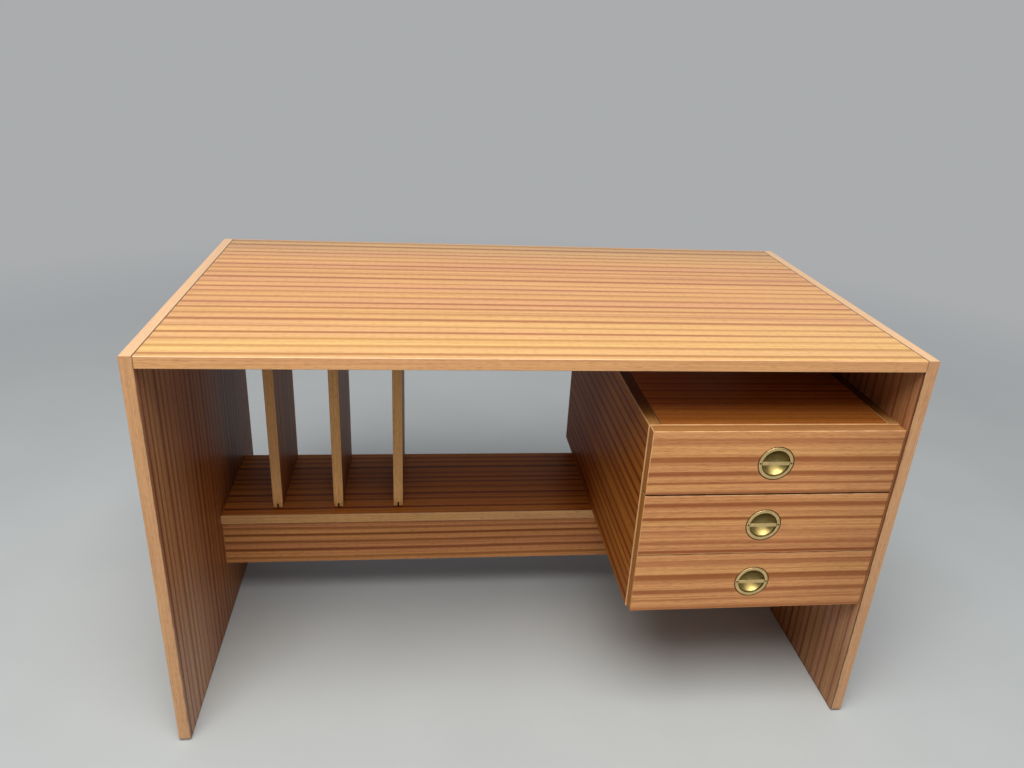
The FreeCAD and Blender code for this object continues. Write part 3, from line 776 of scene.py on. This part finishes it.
def dress_boards():
    """Give each board, lipping and drawer part its own finish."""
    top_low, top_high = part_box("desktop_panel")
    ends = (top_low.x, top_high.x)
    seams = [("x", end, None) for end in ends]
    front, centre_line, back = top_low.y, middle(top_low, top_high).y, top_high.y
    # The desktop's top face shifts colour from front to back: plain along the front edge, pinker towards the middle
    # and cooler at the back. Its underside has painted shade
    aged = [("y", *[front + reach for reach in TOP_FRONT_FADE], TOP_TINT),
            ("y", front, centre_line, TOP_MIDDLE_TINT), ("y", middle(centre_line, back), back, TOP_BACK_TINT)]
    dress(veneer("desktop_veneer", "xyz", 0.98, TOP_LIGHT, TOP_DARK, TOP_PITCH, joints=seams, shine=LACQUER_SHINE,
                 tones=[("z", 1, WHITE, aged), ("z", -1, SHADED_TINT, ())], evenness=1.0),
          "desktop_panel")
    dress(lipping("desktop_edge_lipping", "xyz", 2.0, EDGE_LIGHT, EDGE_DARK, joints=seams, shine=LACQUER_SHINE),
          "desktop_lippings")
    # Painted shade on the shelf, deeper towards the drawer case, and on the apron's front
    bay_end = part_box("case_left_panel")[0].x
    dress(veneer("shelf_veneer", "xyz", 3.0, dark=SHELF_DARK, pitch=FRONT_PITCH,
                 tones=[("z", 1, SHELF_TINT, [("x", bay_end - SHELF_END_FADE, bay_end, SHELF_END_TINT)]),
                        ("z", -1, SHELF_TINT, ())], evenness=0.8),
          "lower_shelf")
    dress(lipping("shelf_edge_lipping", "xyz", 4.0), "shelf_lippings")
    dress(veneer("apron_veneer", "xzy", 14.0, dark=APRON_DARK, tones=[("y", -1, APRON_TINT, ())], evenness=0.7),
          "shelf_apron")

    slab_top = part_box("left_side_panel")[1].z
    # Painted shade and painted sheen on the slab ends' inner faces, deeper higher up, further in and at the back,
    # and on the right end near the floor; painted shade on the lippings' inner faces beside the drawers; dirt and
    # painted contact shade at the feet
    inner = [SLAB_UPPER_AGE, SLAB_DEEP_AGE, SLAB_BACK_AGE]
    for side, inward, seam, seed, spans, edge_tint in (
            ("left", 1, ends[0], 6.0, inner, INNER_EDGE_TINT),
            ("right", -1, ends[1], 7.0, inner + [SLAB_LOW_AGE], GAP_EDGE_TINT)):
        dress(veneer(side + "_end_veneer", "zyx", seed, SLAB_LIGHT, SLAB_DARK, FRONT_PITCH, shine=SLAB_SHINE,
                     tones=[("x", inward, SLAB_TINT, spans), ("x", -inward, SLAB_OUTER_TINT, ())],
                     soiled=FOOT_SOIL, evenness=0.8),
              side + "_side_panel")
        dress(lipping(side + "_end_lipping", "zyx", seed + 0.5, SLAB_EDGE_LIGHT, SLAB_EDGE_DARK,
                      across_beyond=("z", 0.0, slab_top, "yxz"), shine=LACQUER_SHINE, bleached=[("z", 1)],
                      joints=[("x", seam, ("z", 1))], tones=[("x", inward, edge_tint, ())], soiled=FOOT_SOIL),
              side + "_side_lippings")
    # Painted shade on the divider sides, and on the divider lippings' fronts higher up under the desktop
    dress(veneer("divider_veneer", "zyx", 8.0, tones=[("x", sign, SHADED_TINT, ()) for sign in (1, -1)]),
          "divider_left", "divider_middle", "divider_right")
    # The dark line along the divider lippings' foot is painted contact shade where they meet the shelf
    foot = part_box("divider_left")[0].z
    dress(lipping("divider_lipping", "zyx", 9.0, DIVIDER_EDGE_LIGHT, DIVIDER_EDGE_DARK,
                  tones=[("y", -1, WHITE, [DIVIDER_TOP_AGE])],
                  joints=[("z", foot, ("y", -1))]),
          "divider_lippings")

    # Painted shade on the case top, on the lippings' upper faces and on the case sides, deeper higher up and further
    # back; the case top's front strip is darkened a little too
    case_low, case_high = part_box("case_top_panel")
    case_seams = [("x", case_low.x, None), ("x", case_high.x, None)]
    dress(veneer("case_top_veneer", "xyz", 10.0, joints=case_seams,
                 tones=[("z", 1, CASE_TOP_TINT, [CASE_TOP_FRONT_AGE])]),
          "case_top_panel", "case_bottom_panel")
    case_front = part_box("case_cross_lippings")[0].y
    fading_back = [("y", case_front, case_front + CASE_LIPPING_FADE, CASE_LIPPING_TINT)]
    dress(lipping("case_cross_lipping", "xyz", 11.0, tones=[("z", 1, CASE_EDGE_TINT, ())]), "case_cross_lippings")
    side_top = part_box("case_left_panel")[1].z
    for side, seed in (("left", 12.0), ("right", 13.0)):
        dress(veneer(side + "_case_veneer", "yzx", seed, dark=CASE_DARK, pitch=FRONT_PITCH, evenness=0.5,
                     tones=[("x", 1, CASE_TINT, ()), ("x", -1, CASE_TINT, [CASE_UPPER_AGE, CASE_DEEP_AGE])],
                     shine=CASE_SHINE),
              "case_" + side + "_panel")
        dress(lipping(side + "_case_lipping", "zyx", seed + 0.5, across_beyond=("z", 0.0, side_top, "yxz"),
                      tones=[("z", 1, CASE_SIDE_TOP_TINT, fading_back)]),
              "case_" + side + "_lippings")

    # Painted shade on the drawer fronts towards the right slab, on the lippings' left faces, on their faces shut in
    # the gaps and on the top drawer's upper face; the dark ring round each pull is dirt and painted shade of the gap
    right_end = [("x", case_high.x - FRONT_END_FADE, case_high.x, FRONT_END_TINT)]
    shut_in = ((1,), (-1, 1), (-1,))
    for index, (name, hidden_edges, wear) in enumerate(zip(DRAWERS, shut_in, FRONT_WEAR)):
        core_low, core_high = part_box("drawer_" + name + "_front")
        centre, radius = pull_sizes(name)
        dress(veneer(name + "_front_veneer", "xzy", FRONT_SEED, FRONT_LIGHT, pitch=FRONT_PITCH,
                     rings=[(centre, radius)], tones=[("y", -1, WHITE, right_end)]),
              "drawer_" + name + "_front")
        half = (core_high.x - core_low.x) / 2
        narrow = [("z", sign, GAP_TINT, ()) for sign in hidden_edges]
        if 1 not in hidden_edges:
            narrow.append(("z", 1, FRONT_TOP_TINT, ()))
        dress(lipping(name + "_front_lipping", "xzy", FRONT_SEED + index + 0.5, wear=wear,
                      tones=[("x", -1, STRIP_TINT, ()), ("y", -1, WHITE, right_end)] + narrow,
                      veneered=("y", "xzy", FRONT_SEED, FRONT_PITCH),
                      across_beyond=("x", middle(core_low, core_high).x, half, "zxy")),
              "drawer_" + name + "_front_lippings")

    side_wood = drawer_wood("drawer_side_wood", "yzx", 20.0)
    back_wood = drawer_wood("drawer_back_wood", "xzy", 21.0)
    bottom_ply = plywood("drawer_bottom_ply", "xyz", 22.0)
    for name in DRAWERS:
        drawer = "drawer_" + name
        dress(side_wood, drawer + "_left_side", drawer + "_right_side")
        dress(back_wood, drawer + "_back")
        dress(bottom_ply, drawer + "_bottom")
    dress(plywood("case_back_ply", "xzy", 23.0), "case_back_panel")
    dress(beech("runner_beech", 24.0), "left_runners", "right_runners", "desktop_tongues", "shelf_tongues",
          "apron_tongues", "case_tongues")
    # Painted shade on the tongues' front and back faces, seen in the slots under the dividers
    dress(beech("divider_tongue_beech", 25.0, tones=[("y", sign, SLOT_TINT, ()) for sign in (-1, 1)]),
          "divider_tongues")


def finish_mesh(name, shape, material):
    """Turn a bmesh into a piece with one material, smooth but for its sharp edges."""
    bmesh.ops.remove_doubles(shape, verts=shape.verts, dist=WELD_REACH)
    bmesh.ops.recalc_face_normals(shape, faces=shape.faces)
    mesh = bpy.data.meshes.new(name)
    shape.to_mesh(mesh)
    shape.free()
    mesh.materials.append(material)
    mesh.shade_smooth()
    mesh.set_sharp_from_angle(angle=math.radians(SMOOTH_ANGLE))
    return new_object(name, mesh)


def stand_in(piece, body, slot, *nodes):
    """A piece takes the place of CAD nodes and rides on their body."""
    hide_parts(*nodes)
    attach(piece, body)


def turned_shape(profile, centre, segments):
    """A profile of radius and depth turned about an axis that runs to the back through a centre."""
    shape = bmesh.new()
    turned = shape.loops.layers.uv.new("turned")
    rings = []
    for radius, depth in profile:
        if radius == 0:
            rings.append([shape.verts.new(centre + Vector((0, depth, 0)))])
            continue
        turns = [2 * math.pi * step / segments for step in range(segments)]
        rings.append([shape.verts.new(centre + Vector((radius * math.cos(turn), depth, radius * math.sin(turn))))
                      for turn in turns])
    for ring, following in zip(rings, rings[1:]):
        for step in range(segments):
            nearby = (step + 1) % segments
            corners = []
            for points, index in ((ring, step), (ring, nearby), (following, nearby), (following, step)):
                corner = points[index % len(points)]
                if corner not in corners:
                    corners.append(corner)
            if len(corners) > 2:
                face = shape.faces.new(corners)
                starts = (ring[step % len(ring)], following[step % len(following)])
                for loop in face.loops:
                    offset = loop.vert.co - centre
                    share = step if loop.vert in starts else step + 1
                    loop[turned].uv = (share / segments, math.hypot(offset.x, offset.z))
    return shape


def quarter(centre, radius, start, steps=4):
    """Points of a quarter turn about a centre, from a start angle in degrees."""
    angles = [math.radians(start + 90.0 * step / steps) for step in range(steps + 1)]
    return [(centre[0] + radius * math.cos(angle), centre[1] + radius * math.sin(angle)) for angle in angles]


def cup_profile(rim_radius):
    """From the bowl's pole out over the rounded rim and back to the axis behind."""
    opening = rim_radius - RIM_WIDTH
    seat = RIM_THICKNESS - RIM_PROUD
    sag = BOWL_DEPTH - seat
    sphere = (opening ** 2 + sag ** 2) / (2 * sag)
    ahead = sphere - BOWL_DEPTH
    whole = math.asin(opening / sphere)
    bowl = [(sphere * math.sin(whole * step / BOWL_RINGS), sphere * math.cos(whole * step / BOWL_RINGS) - ahead)
            for step in range(BOWL_RINGS + 1)]
    bowl[0] = (0, BOWL_DEPTH)
    inner = quarter((opening + RIM_ROUNDING, RIM_ROUNDING - RIM_PROUD), RIM_ROUNDING, 180)
    outer = quarter((rim_radius - RIM_ROUNDING, RIM_ROUNDING - RIM_PROUD), RIM_ROUNDING, 270)
    drum = opening + CUP_WALL
    floor = BOWL_DEPTH + CUP_WALL
    back = [(rim_radius, seat), (drum, seat), (drum, floor), (0, floor)]
    return bowl + inner + outer + back


def bar_shape(centre, reach, height, front, back):
    """A flat bar with ends that follow the opening, its arrises rounded."""
    shape = bmesh.new()
    turned = shape.loops.layers.uv.new("turned")
    half = height / 2
    limit = math.asin(half / reach)
    arc = [limit * (step / BAR_END_STEPS - 1) for step in range(2 * BAR_END_STEPS + 1)]
    outline = [(reach * math.cos(angle), reach * math.sin(angle)) for angle in arc]
    outline += [(-x, -z) for x, z in outline]
    face = shape.faces.new([shape.verts.new((centre.x + x, front, centre.z + z)) for x, z in outline])
    pushed = bmesh.ops.extrude_face_region(shape, geom=[face])
    moved = [item for item in pushed["geom"] if isinstance(item, bmesh.types.BMVert)]
    bmesh.ops.translate(shape, verts=moved, vec=(0, back - front, 0))
    rims = [edge for edge in shape.edges if abs(edge.verts[0].co.y - edge.verts[1].co.y) < FLAT_EDGE]
    bmesh.ops.bevel(shape, geom=rims, offset=BAR_ROUNDING, segments=3, profile=0.5, affect="EDGES")
    for made in shape.faces:
        for loop in made.loops:
            loop[turned].uv = (loop.vert.co.x - centre.x, loop.vert.co.z - centre.z)
    return shape


def solid_places(node):
    """Each solid of a CAD node as its corner points."""
    shape = bmesh.new()
    shape.from_mesh(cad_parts[node].data)
    bmesh.ops.remove_doubles(shape, verts=shape.verts, dist=CORNER_WELD_REACH)
    left = set(shape.verts)
    solids = []
    while left:
        found, edge = [], [left.pop()]
        while edge:
            vertex = edge.pop()
            found.append(vertex.co.copy())
            for link in vertex.link_edges:
                other = link.other_vert(vertex)
                if other in left:
                    left.remove(other)
                    edge.append(other)
        solids.append(found)
    shape.free()
    return sorted(solids, key=lambda points: tuple(round(value, 4) for value in sum(points, Vector()) / len(points)))


def rod_of(points):
    """Head place, drive direction, length and head radius of a rod from its corner points."""
    low, high = [Vector([pick(point[axis] for point in points) for axis in range(3)]) for pick in (min, max)]
    size = high - low
    axis = max(range(3), key=lambda each: size[each])
    centre = middle(low, high)

    def radius_at(value):
        offsets = [point - centre for point in points if abs(point[axis] - value) < SAME_PLACE]
        for offset in offsets:
            offset[axis] = 0
        return max(offset.length for offset in offsets)

    low_radius, high_radius = radius_at(low[axis]), radius_at(high[axis])
    head_low = low_radius > high_radius - SAME_PLACE
    place = centre.copy()
    place[axis] = low[axis] if head_low else high[axis]
    direction = Vector([0, 0, 0])
    direction[axis] = 1 if head_low else -1
    return place, direction, size[axis], max(low_radius, high_radius)


def dress_pulls():
    """Smooth cups, bars and pins in place of the plainer CAD ones."""
    centre, radius = pull_sizes(DRAWERS[0])
    first_pin = rod_of(solid_places("drawer_" + DRAWERS[0] + "_pull_pins")[0])[0]
    cup_brass = brass("pull_cup_brass", 1.0, mouth=radius - RIM_WIDTH, unpolished=1.0,
                      pin_place=abs(first_pin.x - centre.x))
    bar_brass = brass("pull_bar_brass", 0.0)
    pin_brass = brass("pull_pin_brass", 0.5, PIN_TONE, BRASS_DIRT)
    for name in DRAWERS:
        drawer = "drawer_" + name
        centre, radius = pull_sizes(name)
        cup = finish_mesh(name + "_cup", turned_shape(cup_profile(radius), centre, CUP_SEGMENTS), cup_brass)
        stand_in(cup, drawer, "brass", drawer + "_pull_cup")
        low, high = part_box(drawer + "_pull_bar")
        reach = radius - RIM_WIDTH - BAR_CLEARANCE
        bar = finish_mesh(name + "_finger_bar", bar_shape(centre, reach, high.z - low.z, low.y, high.y), bar_brass)
        stand_in(bar, drawer, "brass", drawer + "_pull_bar")
        shape = bmesh.new()
        for points in solid_places(drawer + "_pull_pins"):
            place, _, length, pin_radius = rod_of(points)
            place.y = centre.y - RIM_PROUD
            dome = quarter((pin_radius - PIN_ROUNDING, PIN_ROUNDING), PIN_ROUNDING, 270, 3)
            profile = [(0, 0)] + dome + [(pin_radius, length), (0, length)]
            pin = turned_shape(profile, place, PIN_SEGMENTS)
            spare = bpy.data.meshes.new("spare_pin")
            pin.to_mesh(spare)
            pin.free()
            shape.from_mesh(spare)
            bpy.data.meshes.remove(spare)
        pins = finish_mesh(name + "_pins", shape, pin_brass)
        stand_in(pins, drawer, "brass", drawer + "_pull_pins")


def make_screw_tree(material):
    """A slotted countersunk wood screw on every point, driven along the point's own direction."""
    geometry = sockets("Geometry", "Geometry")
    sizes = sockets("Float", "Head Radius", "Shank Radius", "Length", "Slot Width", "Slot Depth")
    tree, given, result = new_group("countersunk_screws", geometry + sizes, geometry, "GeometryNodeTree")
    taper = minus(tree, given["Head Radius"], given["Shank Radius"])

    def cone(top, bottom, depth):
        return add(tree, "GeometryNodeMeshCone", {"Vertices": SCREW_SEGMENTS, "Radius Top": top,
                                                  "Radius Bottom": bottom, "Depth": depth})

    head = cone(given["Shank Radius"], given["Head Radius"], taper)
    shank_length = minus(tree, given["Length"], times(tree, taper, 2.0))
    shank = cone(given["Shank Radius"], given["Shank Radius"], shank_length)
    tip = cone(SCREW_POINT_RADIUS, given["Shank Radius"], times(tree, taper, SCREW_POINT_LENGTH))
    rooted = times(tree, taper, SCREW_ROOT)
    placed = []
    for part, distance in ((shank, rooted), (tip, plus(tree, rooted, shank_length))):
        offset = combine(tree, 0.0, 0.0, distance)
        placed.append(add(tree, "GeometryNodeTransform", {"Geometry": part.outputs["Mesh"], "Translation": offset}))
    whole = add(tree, "GeometryNodeMeshBoolean", operation="UNION")
    for source in (head.outputs["Mesh"], placed[0].outputs[0], placed[1].outputs[0]):
        tree.links.new(source, whole.inputs["Mesh 2"])
    slot_size = combine(tree, times(tree, given["Head Radius"], 3.0), given["Slot Width"],
                        times(tree, given["Slot Depth"], 2.0))
    slot = add(tree, "GeometryNodeMeshCube", {"Size": slot_size})
    slotted = add(tree, "GeometryNodeMeshBoolean", {"Mesh 1": whole.outputs[0]}, operation="DIFFERENCE")
    tree.links.new(slot.outputs["Mesh"], slotted.inputs["Mesh 2"])
    drive = add(tree, "GeometryNodeInputNamedAttribute", {"Name": "drive"}, data_type="FLOAT_VECTOR")
    aligned = add(tree, "FunctionNodeAlignRotationToVector", {"Vector": drive.outputs["Attribute"]}, axis="Z")
    spin = add(tree, "FunctionNodeRandomValue", {"Min": 0.0, "Max": math.pi, "Seed": 4}, data_type="FLOAT")
    own_turn = add(tree, "FunctionNodeEulerToRotation", {0: combine(tree, 0.0, 0.0, spin.outputs[1])})
    turned = add(tree, "FunctionNodeRotateRotation", {0: aligned.outputs[0], 1: own_turn.outputs[0]},
                 rotation_space="LOCAL")
    spread = add(tree, "GeometryNodeInstanceOnPoints", {"Points": given["Geometry"], "Instance": slotted.outputs[0],
                                                        "Rotation": turned.outputs[0]})
    real = add(tree, "GeometryNodeRealizeInstances", {"Geometry": spread.outputs[0]})
    dressed = add(tree, "GeometryNodeSetMaterial", {"Geometry": real.outputs[0], "Material": material})
    put(tree, result["Geometry"], dressed.outputs[0])
    return tree


def dress_screws():
    """Slotted screws for the runners and for the case, each where its CAD rod is."""
    tree = make_screw_tree(steel("screw_steel"))
    identifiers = {item.name: item.identifier for item in tree.interface.items_tree if item.in_out == "INPUT"}
    for node in ("runner_screws", "case_fixing_screws"):
        rods = [rod_of(points) for points in solid_places(node)]
        mesh = bpy.data.meshes.new(node + "_places")
        mesh.from_pydata([tuple(place) for place, _, _, _ in rods], [], [])
        drive = mesh.attributes.new("drive", "FLOAT_VECTOR", "POINT")
        for index, (_, direction, _, _) in enumerate(rods):
            drive.data[index].vector = direction
        places = new_object(node + "_places", mesh)
        modifier = places.modifiers.new("screws", "NODES")
        modifier.node_group = tree
        sizes = {"Head Radius": SCREW_HEAD_RADIUS, "Shank Radius": SCREW_SHANK_RADIUS, "Length": rods[0][2],
                 "Slot Width": SCREW_SLOT_WIDTH, "Slot Depth": SCREW_SLOT_DEPTH}
        for label, value in sizes.items():
            modifier[identifiers[label]] = value
        bpy.context.view_layer.update()
        evaluated = places.evaluated_get(bpy.context.evaluated_depsgraph_get())
        piece = new_object("slotted_" + node, bpy.data.meshes.new_from_object(evaluated))
        bpy.data.objects.remove(places)
        stand_in(piece, MAIN_BODY, "steel", node)


def seen_rays(tree):
    """One for the rays that show the background: to the camera, in gloss and through glass."""
    rays = add(tree, "ShaderNodeLightPath").outputs
    gloss = calc(tree, "MAXIMUM", rays["Is Glossy Ray"], rays["Is Transmission Ray"])
    return calc(tree, "MAXIMUM", rays["Is Camera Ray"], gloss)


def set_stage():
    """A plain pale floor that fades into the background, a large soft lamp and a pale sky."""
    shape = bmesh.new()
    bmesh.ops.create_circle(shape, cap_ends=True, segments=FLOOR_SEGMENTS, radius=FLOOR_RADIUS)
    mesh = bpy.data.meshes.new("studio_floor")
    shape.to_mesh(mesh)
    shape.free()
    floor = new_object("studio_floor", mesh)
    material, tree, shader = new_material("floor_paint")
    vector = object_place(tree)
    away = length(tree, vector)
    mottle = rise(tree, noise(tree, vector, MOTTLE_RATE, 3.0), *MOTTLE_SPAN)
    shade = blend(tree, 1.0, linear(FLOOR_NEAR), combine(tree, mottle, mottle, mottle), "MULTIPLY")
    put(tree, shader.inputs["Base Color"], shade)
    put(tree, shader.inputs["Roughness"], FLOOR_ROUGHNESS)
    far = add(tree, "ShaderNodeEmission", {"Color": linear(FLOOR_FAR), "Strength": 1.0})
    fade = times(tree, rise(tree, away, FADE_START, FADE_END), seen_rays(tree))
    mix = add(tree, "ShaderNodeMixShader", {0: fade, 1: shader.outputs[0], 2: far.outputs[0]})
    put(tree, tree.nodes["Material Output"].inputs["Surface"], mix.outputs[0])
    mesh.materials.append(material)

    lamp_data = bpy.data.lights.new("soft_key", "AREA")
    lamp_data.shape = "RECTANGLE"
    lamp_data.size, lamp_data.size_y = KEY_SIZE
    lamp_data.energy = KEY_POWER
    lamp_data.color = linear(KEY_COLOUR)[:3]
    lamp = new_object("soft_key", lamp_data)
    lamp.location = KEY_PLACE
    lamp.rotation_euler = (Vector(KEY_AIM) - Vector(KEY_PLACE)).to_track_quat("-Z", "Y").to_euler()

    world = bpy.data.worlds.new("pale_sky")
    world.use_nodes = True
    tree = world.node_tree
    background = tree.nodes["Background"]
    up = split(tree, add(tree, "ShaderNodeTexCoord").outputs["Generated"])[2]
    sky = blend(tree, rise(tree, up, *SKY_SPAN), linear(SKY_SIDE), linear(SKY_TOP))
    put(tree, background.inputs["Color"], sky)
    put(tree, background.inputs["Strength"], SKY_STRENGTH)
    backdrop = blend(tree, rise(tree, up, *BACKDROP_SPAN), linear(FLOOR_FAR), linear(CEILING))
    seen = add(tree, "ShaderNodeBackground", {"Color": backdrop, "Strength": 1.0})
    mix = add(tree, "ShaderNodeMixShader", {0: seen_rays(tree), 1: background.outputs[0], 2: seen.outputs[0]})
    put(tree, tree.nodes["World Output"].inputs["Surface"], mix.outputs[0])
    bpy.context.scene.world = world


def set_camera():
    data = bpy.data.cameras.new("camera")
    data.sensor_width = SENSOR_WIDTH
    data.lens = CAMERA_LENS
    camera = new_object("camera", data)
    camera.location = CAMERA_PLACE
    camera.rotation_euler = [math.radians(angle) for angle in CAMERA_ANGLES]
    bpy.context.scene.camera = camera


set_stage()
set_camera()
dress_boards()
dress_pulls()
dress_screws()
bpy.context.scene.view_settings.view_transform = "Standard"
